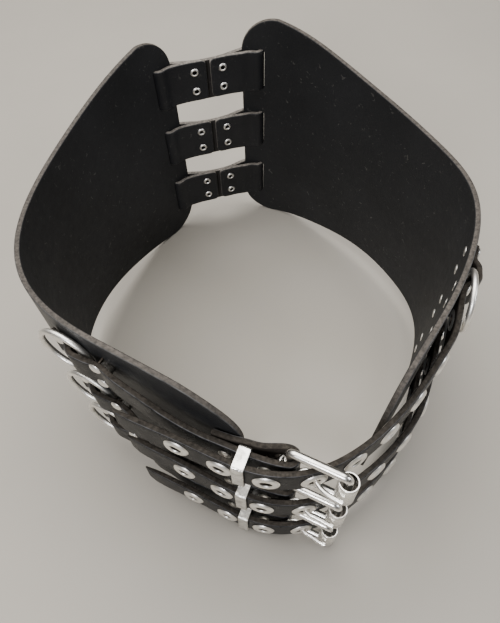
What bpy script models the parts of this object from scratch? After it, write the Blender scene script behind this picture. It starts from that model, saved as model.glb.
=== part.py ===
# Kidney belt: two tall leather panels laced by three tabs at the back and three buckled straps in front.
# Working units are millimetres; the pieces are turned to stand on the table and scaled to metres last.
# Plan axes: x to the wearer's left as seen from the front, y to the back of the belt, z up.
import math

import bmesh
import bpy
import numpy as np
from mathutils import Matrix, Vector

METRE = 0.001

# Leather stock
LEATHER = 3.0
GAP = 0.3

# Panels: height at distances along the panel from its rear edge
MID_HEIGHT = 88.0
PANEL_LENGTH = 318.0
REAR_CORNER = 23.3
TIP_CORNER = 35.0
PANEL_HEIGHTS = [
    # distance, full height
    (0, 174.3),
    (50, 154.7),
    (100, 133.7),
    (150, 125.8),
    (200, 127.9),
    (250, 128.7),
    (320, 130.8),
]
# Plan course of the inner faces, as headings in degrees (mirrored for the left panel)
RIGHT_START = (9.2, 130.9)
LEFT_START = (-36.4, 118.7)
PANEL_HEADINGS = [
    # distance, right heading, left heading
    (0, -2.0, -42.9),
    (40, -36.1, -53.7),
    (90, -48.7, -64.0),
    (140, -61.4, -81.2),
    (170, -72.2, -100.1),
    (200, -98.7, -125.7),
    (240, -117.6, -147.3),
    (300, -126.8, -152.0),
    (340, -117.5, -184.4),
]

# The panels open a little towards their tops: outward travel per millimetre of height
PANEL_LEAN = 0.024

# Rear tabs
TAB_WIDTH = 28.6
TAB_PERIOD = 47.55
SLOT_DISTANCE = 12.8
SLOT_WIDTH = 4.9
TAB_OUTSIDE = 5.25
TAB_INSIDE = -2.3
TAB_END_GAP = 3.0
TAB_DIP = 1.2
TAB_SAG = 2.4

# Front straps
STRAP_WIDTH = 19.0
ROW_PERIOD = 43.9
ROWS = [
    # name, number above the middle, shift inward at the right end, at the left end, first eyelet, tip, outward bulge
    ("top", 1, 6.6, -3.0, 269.4, 300.5, 3.0),
    ("middle", 0, -4.6, 2.1, 271.6, 304.0, 0.0),
    ("bottom", -1, -2.3, 0.7, 270.6, 301.5, 0.0),
]
BULGE_REACH = 50.0
STRAP_START = (130.7, 18.2)
STRAP_HEADINGS = [
    # distance, heading in degrees
    (0, -87.6),
    (50, -101.7),
    (100, -116.1),
    (150, -137.1),
    (200, -164.7),
    (240, -202.9),
    (280, -205.7),
    (330, -206.6),
]
STRAP_DROOP = [
    # distance, drop below the row's height at the rivets
    (70, 0.0),
    (85, 1.0),
    (100, 4.0),
    (130, 11.0),
    (160, 15.6),
    (200, 16.2),
    (240, 13.8),
    (270, 11.0),
    (300, 7.7),
    (330, 2.0),
]
TIP_TAPER = 14.0
TIP_THICKNESS = 1.0
TIP_CUT = 3.0
EYELET_SPACING = 21.8
EYELET_COUNT = 9
EYELET_HOLE = 6.6

# Riveted ends of the straps: middle of the leather above the panel's outer face, raised over the ring's wire
RIGHT_END = [
    # distance along the panel, height above its outer face
    (217.0, 1.9), (221.0, 1.9), (225.0, 2.0), (226.8, 2.7), (228.0, 3.9), (229.4, 5.0), (231.4, 5.6), (234.0, 6.2),
    (237.0, 6.7), (239.0, 6.0), (240.6, 4.3), (242.4, 2.7), (245.0, 2.0), (250.0, 2.4), (255.0, 3.3),
]
LEFT_END = [
    (217.0, 1.9), (221.5, 1.9), (226.0, 2.0), (228.0, 2.9), (229.8, 4.5), (231.6, 5.8), (234.0, 6.1), (237.0, 5.8),
    (240.0, 5.5), (243.5, 4.9), (247.0, 4.6), (251.0, 5.0), (255.5, 6.0),
]
LEAN_KEPT = 45.0
LEAN_LOST = 75.0

# Rings: where the wire is held, its height above the panel, how far the ring opens and hangs down
RING_RADIUS = 15.0
RING_WIRE = 1.6
RING_SIDES = 18
WIRE_SIDES = 6
RIGHT_RINGS = [
    # held at, out from the panel, opened by degrees, drop
    (231.2, 1.9, 10.0, -0.6), (231.2, 1.9, 9.0, 0.4), (231.2, 1.9, 8.5, 0.8),
]
LEFT_RINGS = [
    (239.4, 2.0, 4.0, 1.2), (240.2, 2.0, 3.8, 1.0), (240.4, 2.0, 3.4, 1.0),
]

# Roller buckles, from the heel bar to the roller
HEEL = (24.0, -136.4)
BUCKLE_TURN = -27.5
BUCKLE_LENGTH = 28.0
BUCKLE_RISE = 0.8
BUCKLE_HALF = 13.3
BUCKLE_WIRE = 2.1
BUCKLE_CORNER = 2.7
FOLD_RADIUS = BUCKLE_WIRE + GAP + LEATHER / 2 + 0.15
ROLLER_OUTER = 4.75
ROLLER_INNER = 3.9
ROLLER_HALF = 10.3
PRONG_WIRE = 1.3
PRONG_START = [
    # along the buckle, outward
    (4.6, 3.1),
]
PRONG_THROUGH = [
    # along the buckle and outward, from the eyelet's outer middle
    (-4.4, -2.6), (-2.2, -2.3), (-0.5, -1.1), (1.4, 0.6),
]
PRONG_END = [
    (18.5, 5.2), (24.0, 6.2), (28.6, 6.5),
]
PRONG_EYELET = 3
PRONG_SLOT = 2.4
PRONG_SLOT_REACH = 8.0

# Buckle strap: depth of the middle of its two layers under the outer strap's face
INNER_LAYER = [
    # distance along the front straps, depth
    (256.5, 11.2), (251.0, 11.7), (246.0, 12.2), (238.5, 13.1), (231.5, 13.3),
]
OUTER_LAYER = [
    (231.0, 6.6), (238.5, 7.6), (247.0, 8.1), (257.0, 7.8),
]
OUTER_LAYER_AHEAD = [
    # plan course from there to the left rivets
    (-32.0, -117.4), (-41.3, -111.2), (-50.6, -104.8),
]

# Keepers
KEEPER_DISTANCE = 238.5
KEEPER_WIDTH = 5.8
KEEPER_BAND = 0.9
KEEPER_DEPTH = 9.3

# Colours, roughness and metallic of each kind of piece
LOOKS = {
    "panel": ((0.018, 0.018, 0.020), 0.72, 0.0),
    "strap": ((0.022, 0.022, 0.025), 0.42, 0.0),
    "steel": ((0.78, 0.77, 0.75), 0.16, 1.0),
    "satin": ((0.66, 0.65, 0.62), 0.32, 1.0),
}

PIECES = []


# Curves
def spline(knots, values, at):
    """Natural cubic spline through short tables."""
    knots = np.asarray(knots, float)
    values = np.asarray(values, float)
    if values.ndim == 1:
        values = values[:, None]
    count = len(knots)
    gaps = np.diff(knots)
    matrix = np.eye(count)
    right = np.zeros_like(values)
    for i in range(1, count - 1):
        matrix[i, i - 1] = gaps[i - 1]
        matrix[i, i] = 2 * (gaps[i - 1] + gaps[i])
        matrix[i, i + 1] = gaps[i]
        slope_after = (values[i + 1] - values[i]) / gaps[i]
        slope_before = (values[i] - values[i - 1]) / gaps[i - 1]
        right[i] = 6 * (slope_after - slope_before)
    bend = np.linalg.solve(matrix, right)
    at = np.atleast_1d(np.asarray(at, float))
    i = np.clip(np.searchsorted(knots, at) - 1, 0, count - 2)
    width = gaps[i][:, None]
    a = (knots[i + 1] - at)[:, None]
    b = (at - knots[i])[:, None]
    linear = (values[i] / width - bend[i] * width / 6) * a + (values[i + 1] / width - bend[i + 1] * width / 6) * b
    return (bend[i] * a ** 3 + bend[i + 1] * b ** 3) / (6 * width) + linear


def course(start, table, mirrored, length):
    """Plan curve of unit steps from headings, with its outward normals."""
    along = np.arange(0, length + 1, 1.0)
    angle = np.radians(spline([row[0] for row in table], [row[1] for row in table], along)[:, 0])
    side = -1.0 if mirrored else 1.0
    step = np.stack([np.cos(angle) * side, np.sin(angle)], 1)
    points = np.vstack([[0.0, 0.0], np.cumsum((step[1:] + step[:-1]) / 2, axis=0)]) + np.array(start)
    outward = np.stack([-step[:, 1], step[:, 0]], 1) * side
    return along, points, outward


RIGHT_WALL = course(RIGHT_START, [(row[0], row[1]) for row in PANEL_HEADINGS], False, 335)
LEFT_WALL = course(LEFT_START, [(row[0], row[2]) for row in PANEL_HEADINGS], True, 335)
STRAP_LINE = course(STRAP_START, STRAP_HEADINGS, False, 330)


def beside(wall, distance, out, height=MID_HEIGHT):
    """Plan point at a distance along a wall, so far out from its inner face at that height."""
    out = out + (height - MID_HEIGHT) * PANEL_LEAN
    along, points, outward = wall
    point = [np.interp(distance, along, points[:, axis]) for axis in (0, 1)]
    normal = [np.interp(distance, along, outward[:, axis]) for axis in (0, 1)]
    return np.array(point) + np.array(normal) * out


def strap_point(row, distance, depth):
    """Plan point of a front strap, so deep under the outer face of the outer strap."""
    share = distance / 330.0
    inward = row[2] * (1 - share) + row[3] * share
    along, points, outward = STRAP_LINE
    point = [np.interp(distance, along, points[:, axis]) for axis in (0, 1)]
    normal = [np.interp(distance, along, outward[:, axis]) for axis in (0, 1)]
    return np.array(point) - np.array(normal) * (inward + depth)


def strap_height(row, distance):
    drop = spline([r[0] for r in STRAP_DROOP], [r[1] for r in STRAP_DROOP], distance)[0, 0]
    return MID_HEIGHT + row[1] * ROW_PERIOD - drop


def smooth(points, step=0.4):
    """Dense curve through the given points, with the distance along it."""
    points = np.asarray(points, float)
    chord = np.linalg.norm(np.diff(points[:, :2], axis=0), axis=1)
    knots = np.concatenate([[0], np.cumsum(chord)])
    dense = spline(knots, points, np.linspace(0, knots[-1], int(knots[-1] / step) + 2))
    along = np.concatenate([[0], np.cumsum(np.linalg.norm(np.diff(dense[:, :2], axis=0), axis=1))])
    return along, dense


def nearest(curve, point):
    """Distance along a curve at which it passes closest to a plan point."""
    along, dense = curve
    return float(along[np.argmin(np.linalg.norm(dense[:, :2] - np.asarray(point)[:2], axis=1))])


def columns(curve, most_turn, most_gap, forced):
    """Distances at which a bent strip gets an edge: at each forced one, and where it turns."""
    along, dense = curve
    heading = np.unwrap(np.arctan2(np.gradient(dense[:, 1]), np.gradient(dense[:, 0])))
    turned = np.concatenate([[0], np.cumsum(np.abs(np.diff(heading)))])
    stops = sorted({0.0, float(along[-1])} | {float(d) for d in forced})
    chosen = [stops[0]]
    for first, last in zip(stops, stops[1:]):
        turn = np.degrees(np.interp(last, along, turned) - np.interp(first, along, turned))
        effort = turn / most_turn + (last - first) / most_gap
        parts = max(1, math.ceil(effort - 0.15))
        here = np.linspace(first, last, 200)
        load = np.interp(here, along, np.degrees(turned)) / most_turn + here / most_gap
        load = (load - load[0]) / (load[-1] - load[0])
        chosen += [float(np.interp(k / parts, load, here)) for k in range(1, parts)] + [last]
    return chosen


# Solids
def keep(name, look, vertices, faces, rounded=False):
    PIECES.append((name, look, [tuple(float(c) for c in v) for v in vertices], faces, rounded))


def sheet(name, look, middle, normals, heights, thickness, holes=(), leans=None, about=None):
    """Closed leather sheet: one column of points per distance, and cells left open where holes are.

    heights holds each column's levels from the bottom to the top, and leans its plan travel per millimetre
    above the height in about.
    """
    count = len(middle)
    levels = len(heights[0])
    solid = {(i, j) for i in range(count - 1) for j in range(levels - 1)}
    for first, last, low, high in holes:
        solid -= {(i, j) for i in range(first, last) for j in range(low, high)}
    vertices = []
    for i in range(count):
        for j in range(levels):
            for side in (-0.5, 0.5):
                x, y = middle[i] + normals[i] * thickness[i] * side + leans[i] * (heights[i][j] - about[i])
                vertices.append((x, y, heights[i][j]))

    def at(i, j, side):
        return (i * levels + j) * 2 + side

    faces = []
    for i, j in sorted(solid):
        faces.append((at(i, j, 1), at(i + 1, j, 1), at(i + 1, j + 1, 1), at(i, j + 1, 1)))
        faces.append((at(i, j, 0), at(i, j + 1, 0), at(i + 1, j + 1, 0), at(i + 1, j, 0)))
        if (i - 1, j) not in solid:
            faces.append((at(i, j, 0), at(i, j, 1), at(i, j + 1, 1), at(i, j + 1, 0)))
        if (i + 1, j) not in solid:
            faces.append((at(i + 1, j, 1), at(i + 1, j, 0), at(i + 1, j + 1, 0), at(i + 1, j + 1, 1)))
        if (i, j - 1) not in solid:
            faces.append((at(i, j, 1), at(i, j, 0), at(i + 1, j, 0), at(i + 1, j, 1)))
        if (i, j + 1) not in solid:
            faces.append((at(i, j + 1, 0), at(i, j + 1, 1), at(i + 1, j + 1, 1), at(i + 1, j + 1, 0)))
    keep(name, look, vertices, faces)


def no_lean(point, before_end):
    return np.zeros(2)


def strip(name, look, points, width, thickness, forced=(), levels=(), windows=(), turn=14.0, gap=14.0, ends=None, lean=no_lean):
    """Strap of one width along a curve; a window is (from, to, low level, high level)."""
    curve = smooth(points)
    along, dense = curve
    marks = list(forced) + [d for window in windows for d in window[:2]]
    stops = columns(curve, turn, gap, marks)
    tangent = np.stack([np.gradient(dense[:, 0]), np.gradient(dense[:, 1])], 1)
    tangent /= np.linalg.norm(tangent, axis=1)[:, None]
    middle = []
    normals = []
    heights = []
    thick = []
    leans = []
    about = []
    for distance in stops:
        middle.append(np.array([np.interp(distance, along, dense[:, axis]) for axis in (0, 1)]))
        direction = np.array([np.interp(distance, along, tangent[:, axis]) for axis in (0, 1)])
        direction /= np.linalg.norm(direction)
        normals.append(np.array([-direction[1], direction[0]]))
        z = np.interp(distance, along, dense[:, 2])
        leans.append(lean(middle[-1], along[-1] - distance))
        about.append(z)
        low, high = -width / 2, width / 2
        if ends:
            low, high = ends(distance, along[-1], low, high)
        heights.append([z + low] + [z + level for level in levels] + [z + high])
        thick.append(thickness(distance, along[-1]) if callable(thickness) else thickness)
    place = {round(d, 6): i for i, d in enumerate(stops)}
    holes = [(place[round(a, 6)], place[round(b, 6)], low, high) for a, b, low, high in windows]
    sheet(name, look, middle, normals, heights, thick, holes, leans, about)
    return curve


def tube(name, look, points, normal, radius, sides, closed):
    """Round wire along a flat curve; normal is the direction square to the curve's plane."""
    points = [np.asarray(p, float) for p in points]
    normal = np.asarray(normal, float) / np.linalg.norm(normal)
    count = len(points)
    vertices = []
    for i, point in enumerate(points):
        before = points[i - 1] if closed or i > 0 else point
        after = points[(i + 1) % count] if closed or i < count - 1 else point
        first = point - before
        second = after - point
        if np.linalg.norm(first) < 1e-9:
            first = second
        if np.linalg.norm(second) < 1e-9:
            second = first
        first = first / np.linalg.norm(first)
        second = second / np.linalg.norm(second)
        tangent = (first + second) / np.linalg.norm(first + second)
        side = np.cross(normal, tangent)
        stretch = 1.0 / max(float(np.dot(tangent, first)), 0.5)
        for k in range(sides):
            angle = 2 * math.pi * (k + 0.5) / sides
            vertices.append(point + radius * (math.cos(angle) * normal + math.sin(angle) * side * stretch))
    faces = []
    for i in range(count if closed else count - 1):
        for k in range(sides):
            a = i * sides + k
            b = i * sides + (k + 1) % sides
            c = ((i + 1) % count) * sides + (k + 1) % sides
            d = ((i + 1) % count) * sides + k
            faces.append((a, b, c, d))
    if not closed:
        faces.append(tuple(reversed(range(sides))))
        faces.append(tuple(range((count - 1) * sides, count * sides)))
    keep(name, look, vertices, faces, True)


# Panels
def half_height(distance):
    full = spline([r[0] for r in PANEL_HEIGHTS], [r[1] for r in PANEL_HEIGHTS], distance)[0, 0]
    if distance < REAR_CORNER:
        full = spline([r[0] for r in PANEL_HEIGHTS], [r[1] for r in PANEL_HEIGHTS], REAR_CORNER)[0, 0]
        back = REAR_CORNER - distance
        return full / 2 - REAR_CORNER + math.sqrt(max(REAR_CORNER ** 2 - back ** 2, 0))
    past = distance - (PANEL_LENGTH - TIP_CORNER)
    if past > 0:
        return full / 2 - TIP_CORNER + math.sqrt(max(TIP_CORNER ** 2 - past ** 2, 0))
    return full / 2


def panel(name, wall):
    slot = (SLOT_DISTANCE - SLOT_WIDTH / 2, SLOT_DISTANCE + SLOT_WIDTH / 2)
    stops = [REAR_CORNER * (1 - math.cos(math.radians(a))) for a in (0, 14, 28, 42, 75, 90)]
    stops += list(slot)
    flat_end = PANEL_LENGTH - TIP_CORNER
    stops += [float(d) for d in np.linspace(REAR_CORNER, flat_end, 25)[1:]]
    stops += [flat_end + TIP_CORNER * math.sin(math.radians(a)) for a in (14, 28, 41, 53, 64, 74, 83, 90)]
    stops = sorted(stops)
    edge = TAB_WIDTH / 2 + 0.4
    offsets = [-TAB_PERIOD - edge, -TAB_PERIOD + edge, -edge, edge, TAB_PERIOD - edge, TAB_PERIOD + edge]
    full = half_height(SLOT_DISTANCE)
    middle = []
    normals = []
    heights = []
    for distance in stops:
        inner = beside(wall, distance, 0)
        outer = beside(wall, distance, LEATHER)
        middle.append((inner + outer) / 2)
        normals.append((outer - inner) / LEATHER)
        half = half_height(distance)
        share = 1.0 if distance in slot else half / full
        heights.append([MID_HEIGHT - half] + [MID_HEIGHT + o * share for o in offsets] + [MID_HEIGHT + half])
    first = stops.index(slot[0])
    last = stops.index(slot[1])
    holes = [(first, last, low, low + 1) for low in (1, 3, 5)]
    leans = [normal * PANEL_LEAN for normal in normals]
    sheet(name, "panel", middle, normals, heights, [LEATHER] * len(stops), holes, leans, [MID_HEIGHT] * len(stops))


# Rear tabs: one strip across the outside, through both slots, its ends folded back inside
def tab_course(height):
    right_edge = beside(RIGHT_WALL, 0, LEATHER / 2, height)
    left_edge = beside(LEFT_WALL, 0, LEATHER / 2, height)
    across = (right_edge - left_edge) / np.linalg.norm(right_edge - left_edge)
    outward = np.array([-across[1], across[0]])
    centre = (right_edge + left_edge) / 2
    bend = (TAB_OUTSIDE - TAB_INSIDE) / 2
    bend_at = SLOT_DISTANCE - bend + 0.3
    layers = LEATHER + 0.4
    halves = []
    for wall, side in ((RIGHT_WALL, 1), (LEFT_WALL, -1)):
        inside = []
        for reach, out in ((TAB_END_GAP / 2, 0.0), (8.0, 0.0), (13.5, 0.1)):
            inside.append(centre + across * side * reach - outward * (TAB_DIP + layers - out))
        inside += [beside(wall, 0.5, TAB_INSIDE - 1.6, height), beside(wall, bend_at - 2.5, TAB_INSIDE, height)]
        turn = []
        for k in range(9):
            angle = math.radians(-90 + 180 * k / 8)
            turn.append(beside(wall, bend_at + bend * math.cos(angle), 1.45 + bend * math.sin(angle), height))
        outside = [beside(wall, bend_at - 3, TAB_OUTSIDE, height), beside(wall, 0.8, TAB_OUTSIDE - 0.2, height)]
        outside.append(centre + across * side * 11 + outward * (0.8 - TAB_DIP))
        halves.append([(p[0], p[1], height) for p in inside + turn])
        halves[-1] += [(*p[:2], height - TAB_SAG * share) for p, share in zip(outside, (0.25, 1, 1))]
    middle = centre - outward * TAB_DIP
    return halves[0] + [(middle[0], middle[1], height - TAB_SAG)] + halves[1][::-1]


def tab_lean(point, before_end):
    """Lean of whichever panel the tab is next to, shared out between them across the gap."""
    right = beside(RIGHT_WALL, 4, 0)
    left = beside(LEFT_WALL, 4, 0)
    share = min(max(float((point - left) @ (right - left)) / float((right - left) @ (right - left)), 0), 1)
    return ((beside(RIGHT_WALL, 4, 1) - right) * share + (beside(LEFT_WALL, 4, 1) - left) * (1 - share)) * PANEL_LEAN


# Rings, each held by its wire under a raised strap end
def ring(name, wall, side, table, height):
    held, out, opened, drop = table
    at = beside(wall, held, LEATHER + out, height)
    ahead = beside(wall, held + 0.5, 0) - beside(wall, held - 0.5, 0)
    ahead /= np.linalg.norm(ahead)
    away = beside(wall, held, 1) - beside(wall, held, 0)
    turn = math.radians(opened)
    forward = ahead * side * math.cos(turn) + away * math.sin(turn)
    outward = away * math.cos(turn) - ahead * side * math.sin(turn)
    points = []
    for k in range(RING_SIDES):
        angle = 2 * math.pi * k / RING_SIDES
        plan = at + forward * RING_RADIUS * (1 - math.cos(angle))
        points.append((plan[0], plan[1], height - drop + RING_RADIUS * math.sin(angle)))
    tube(name, "steel", points, (outward[0], outward[1], 0), RING_WIRE, WIRE_SIDES, True)


# Front straps
def billet(row):
    name = row[0]
    level = MID_HEIGHT + row[1] * ROW_PERIOD
    points = [(*beside(RIGHT_WALL, d, LEATHER + up, level), level) for d, up in RIGHT_END]
    first = 104.0 if row[1] == 1 else 132.0
    tip = row[5]
    for distance in np.linspace(first, tip, 2 + int((tip - first) / 13)):
        bulge = row[6] * max(0.0, 1 - (distance - first) / BULGE_REACH) ** 2
        p = strap_point(row, distance, LEATHER / 2 - bulge)
        points.append((p[0], p[1], strap_height(row, distance)))
    curve = smooth(points)
    windows = []
    for k in range(EYELET_COUNT):
        at = nearest(curve, strap_point(row, row[4] - k * EYELET_SPACING, LEATHER / 2))
        windows.append((at - EYELET_HOLE / 2, at + EYELET_HOLE / 2, 1, 2))

    def thin(distance, length):
        share = min(max((length - distance) / TIP_TAPER, 0), 1)
        return TIP_THICKNESS + (LEATHER - TIP_THICKNESS) * share

    def cut(distance, length, low, high):
        left = length - distance
        return (low + 4.0 * max(0, 1 - left / TIP_CUT), high)

    length = curve[0][-1]

    def lean(point, before_end):
        share = min(max((LEAN_LOST - (length - before_end)) / (LEAN_LOST - LEAN_KEPT), 0), 1)
        return (beside(RIGHT_WALL, 235, 1) - beside(RIGHT_WALL, 235, 0)) * share * PANEL_LEAN

    forced = [length - TIP_TAPER, length - TIP_CUT]
    levels = (-EYELET_HOLE / 2, EYELET_HOLE / 2)
    strip("billet_" + name, "strap", points, STRAP_WIDTH, thin, forced, levels, windows, ends=cut, lean=lean)


def buckle_height(row):
    return strap_height(row, 212.0)


def buckle_strap(row):
    name = row[0]
    heel = np.array(HEEL)
    height = buckle_height(row)
    points = []
    for distance, depth in INNER_LAYER:
        p = strap_point(row, distance, depth)
        points.append((p[0], p[1], strap_height(row, distance)))
    leave = strap_point(row, 240.0, 0) - strap_point(row, 226.0, 0)
    leave /= np.linalg.norm(leave)
    out = np.array([leave[1], -leave[0]])
    if out[1] > 0:
        out = -out
    for k in range(9):
        angle = math.radians(-90 + 180 * k / 8)
        p = heel - leave * FOLD_RADIUS * math.cos(angle) + out * FOLD_RADIUS * math.sin(angle)
        points.append((p[0], p[1], height))
    for distance, depth in OUTER_LAYER:
        p = strap_point(row, distance, depth)
        points.append((p[0], p[1], strap_height(row, distance)))
    level = MID_HEIGHT + row[1] * ROW_PERIOD
    for share, p in zip((0.62, 0.38, 0.18), OUTER_LAYER_AHEAD):
        points.append((p[0], p[1], level - 11.0 * share))
    points += [(*beside(LEFT_WALL, d, LEATHER + up, level), level) for d, up in LEFT_END[::-1]]
    curve = smooth(points)
    middle = nearest(curve, heel - leave * FOLD_RADIUS)
    reach = math.pi * FOLD_RADIUS / 2 + PRONG_SLOT_REACH
    window = (middle - reach, middle + reach, 1, 2)

    def lean(point, before_end):
        share = min(max((LEAN_LOST - before_end) / (LEAN_LOST - LEAN_KEPT), 0), 1)
        return (beside(LEFT_WALL, 235, 1) - beside(LEFT_WALL, 235, 0)) * share * PANEL_LEAN

    strip("buckle_strap_" + name, "strap", points, STRAP_WIDTH, LEATHER, (), (-PRONG_SLOT, PRONG_SLOT), [window], lean=lean)


# Roller buckles
def buckle(row):
    name = row[0]
    height = buckle_height(row) + BUCKLE_RISE
    heel = np.array([HEEL[0], HEEL[1], height])
    turn = math.radians(BUCKLE_TURN)
    along = np.array([math.cos(turn), math.sin(turn), 0])
    outward = np.array([math.sin(turn), -math.cos(turn), 0])
    up = np.array([0, 0, 1.0])

    def place(a, o, z):
        return heel + along * a + outward * o + up * z

    corner = BUCKLE_CORNER
    outline = []
    for a, z, first in (
        (BUCKLE_LENGTH - corner, BUCKLE_HALF - corner, 0),
        (corner, BUCKLE_HALF - corner, 90),
        (corner, corner - BUCKLE_HALF, 180),
        (BUCKLE_LENGTH - corner, corner - BUCKLE_HALF, 270),
    ):
        for k in range(4):
            angle = math.radians(first + 90 * k / 3)
            outline.append(place(a + corner * math.cos(angle), 0, z + corner * math.sin(angle)))
    tube("buckle_frame_" + name, "steel", outline, outward, BUCKLE_WIRE, 8, True)

    # Roller: a hollow tube round the front bar
    vertices = []
    sides = 20
    for radius, z in (
        (ROLLER_OUTER, -ROLLER_HALF), (ROLLER_OUTER, ROLLER_HALF), (ROLLER_INNER, ROLLER_HALF), (ROLLER_INNER, -ROLLER_HALF),
    ):
        for k in range(sides):
            angle = 2 * math.pi * k / sides
            vertices.append(place(BUCKLE_LENGTH + radius * math.cos(angle), radius * math.sin(angle), z))
    faces = []
    for i in range(4):
        for k in range(sides):
            a = i * sides + k
            b = i * sides + (k + 1) % sides
            c = ((i + 1) % 4) * sides + (k + 1) % sides
            d = ((i + 1) % 4) * sides + k
            faces.append((a, b, c, d))
    keep("roller_" + name, "steel", vertices, faces, True)

    # Prong: an eye round the heel bar, then through the strap to the roller
    eye = BUCKLE_WIRE + GAP + PRONG_WIRE + 0.2
    points = []
    for k in range(9):
        angle = math.radians(-5 - 265 * k / 8)
        points.append(place(eye * math.cos(angle), eye * math.sin(angle), 0))
    hole = strap_point(row, row[4] - PRONG_EYELET * EYELET_SPACING, 0) - np.array(HEEL)
    at = (float(hole @ along[:2]), float(hole @ outward[:2]))
    through = [(at[0] + a, at[1] + o) for a, o in PRONG_THROUGH]
    dense = smooth([(0.0, eye, 0.0)] + [(a, o, 0.0) for a, o in PRONG_START + through + PRONG_END], 2.2)[1]
    points += [place(p[0], p[1], 0) for p in dense[1:]]
    tube("prong_" + name, "steel", points, up, PRONG_WIRE, 6, False)


def keeper(row):
    name = row[0]
    height = strap_height(row, KEEPER_DISTANCE)
    outer = strap_point(row, KEEPER_DISTANCE, 0)
    inner = strap_point(row, KEEPER_DISTANCE, KEEPER_DEPTH)
    across = (outer - inner) / np.linalg.norm(outer - inner)
    ahead = np.array([-across[1], across[0]])
    centre = (outer + inner) / 2
    half_depth = np.linalg.norm(outer - inner) / 2 + 0.55 + KEEPER_BAND / 2
    half_width = STRAP_WIDTH / 2 + 0.7 + KEEPER_BAND / 2
    radius = 1.0
    vertices = []
    count = 0
    for a, z, first in (
        (half_depth - radius, half_width - radius, 0),
        (radius - half_depth, half_width - radius, 90),
        (radius - half_depth, radius - half_width, 180),
        (half_depth - radius, radius - half_width, 270),
    ):
        for k in range(3):
            angle = math.radians(first + 45 * k)
            for shift, size in ((-0.5, -0.5), (0.5, -0.5), (0.5, 0.5), (-0.5, 0.5)):
                reach = radius + size * KEEPER_BAND
                plan = centre + across * (a + reach * math.cos(angle)) + ahead * shift * KEEPER_WIDTH
                vertices.append((plan[0], plan[1], height + z + reach * math.sin(angle)))
            count += 1
    faces = []
    for i in range(count):
        for k in range(4):
            j = (i + 1) % count
            faces.append((i * 4 + k, i * 4 + (k + 1) % 4, j * 4 + (k + 1) % 4, j * 4 + k))
    keep("keeper_" + name, "satin", vertices, faces)


# The whole belt
def build_pieces():
    panel("panel_left", LEFT_WALL)
    panel("panel_right", RIGHT_WALL)
    for name, number in (("top", 1), ("middle", 0), ("bottom", -1)):
        strip("tab_" + name, "strap", tab_course(MID_HEIGHT + number * TAB_PERIOD), TAB_WIDTH, LEATHER, gap=20.0, turn=18.0, lean=tab_lean)
    for number, row in enumerate(ROWS):
        level = MID_HEIGHT + row[1] * ROW_PERIOD
        ring("ring_right_" + row[0], RIGHT_WALL, 1, RIGHT_RINGS[number], level)
        ring("ring_left_" + row[0], LEFT_WALL, -1, LEFT_RINGS[number], level)
        billet(row)
        buckle_strap(row)
        buckle(row)
        keeper(row)


def standing():
    """Turn that sets the belt down on its two rear corners and its lowest buckle."""
    feet = []
    for wanted in ("panel_right", "panel_left", "buckle_frame_bottom"):
        feet.append(np.array(next(piece[2] for piece in PIECES if piece[0] == wanted)))
    up = np.array([0.0, 0.0, 1.0])
    for _ in range(6):
        lowest = [points[np.argmin(points @ up)] for points in feet]
        up = np.cross(lowest[1] - lowest[0], lowest[2] - lowest[0])
        up /= np.linalg.norm(up)
        if up[2] < 0:
            up = -up
    turn = Vector(up).rotation_difference(Vector((0, 0, 1))).to_matrix()
    every = np.array([v for piece in PIECES for v in piece[2]]) @ np.array(turn).T
    low = every.min(axis=0)
    high = every.max(axis=0)
    shift = Vector((-(low[0] + high[0]) / 2, -(low[1] + high[1]) / 2, -low[2]))
    return Matrix.Translation(shift) @ turn.to_4x4()


def make_objects():
    for old in list(bpy.data.objects):
        bpy.data.objects.remove(old, do_unlink=True)
    stand = Matrix.Scale(METRE, 4) @ standing()
    for name, look, vertices, faces, rounded in PIECES:
        mesh = bpy.data.meshes.new(name)
        mesh.from_pydata([stand @ Vector(v) for v in vertices], [], faces)
        built = bmesh.new()
        built.from_mesh(mesh)
        loose = [v for v in built.verts if not v.link_faces]
        bmesh.ops.delete(built, geom=loose, context="VERTS")
        bmesh.ops.recalc_face_normals(built, faces=built.faces)
        built.to_mesh(mesh)
        built.free()
        obj = bpy.data.objects.new(name, mesh)
        bpy.context.scene.collection.objects.link(obj)
        colour, roughness, metallic = LOOKS[look]
        material = bpy.data.materials.new(name)
        material.use_nodes = True
        shader = material.node_tree.nodes["Principled BSDF"]
        shader.inputs["Base Color"].default_value = (*colour, 1.0)
        shader.inputs["Roughness"].default_value = roughness
        shader.inputs["Metallic"].default_value = metallic
        mesh.materials.append(material)
        if rounded:
            mesh.shade_smooth()
            mesh.set_sharp_from_angle(angle=math.radians(40))


build_pieces()
make_objects()
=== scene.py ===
# Kidney belt, dressed for the render: leather panels, laced tabs, buckled straps, rings, eyelets and rivets.
# Lengths are millimetres, but metres in the materials' pores and bumps and in the studio.
# Angles are degrees, but radians in the camera's turn.
from math import copysign, cos, hypot, pi, radians, sin, sqrt

import bmesh
import bpy
import numpy as np
from mathutils import Matrix, Vector
from numpy.linalg import norm


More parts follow.
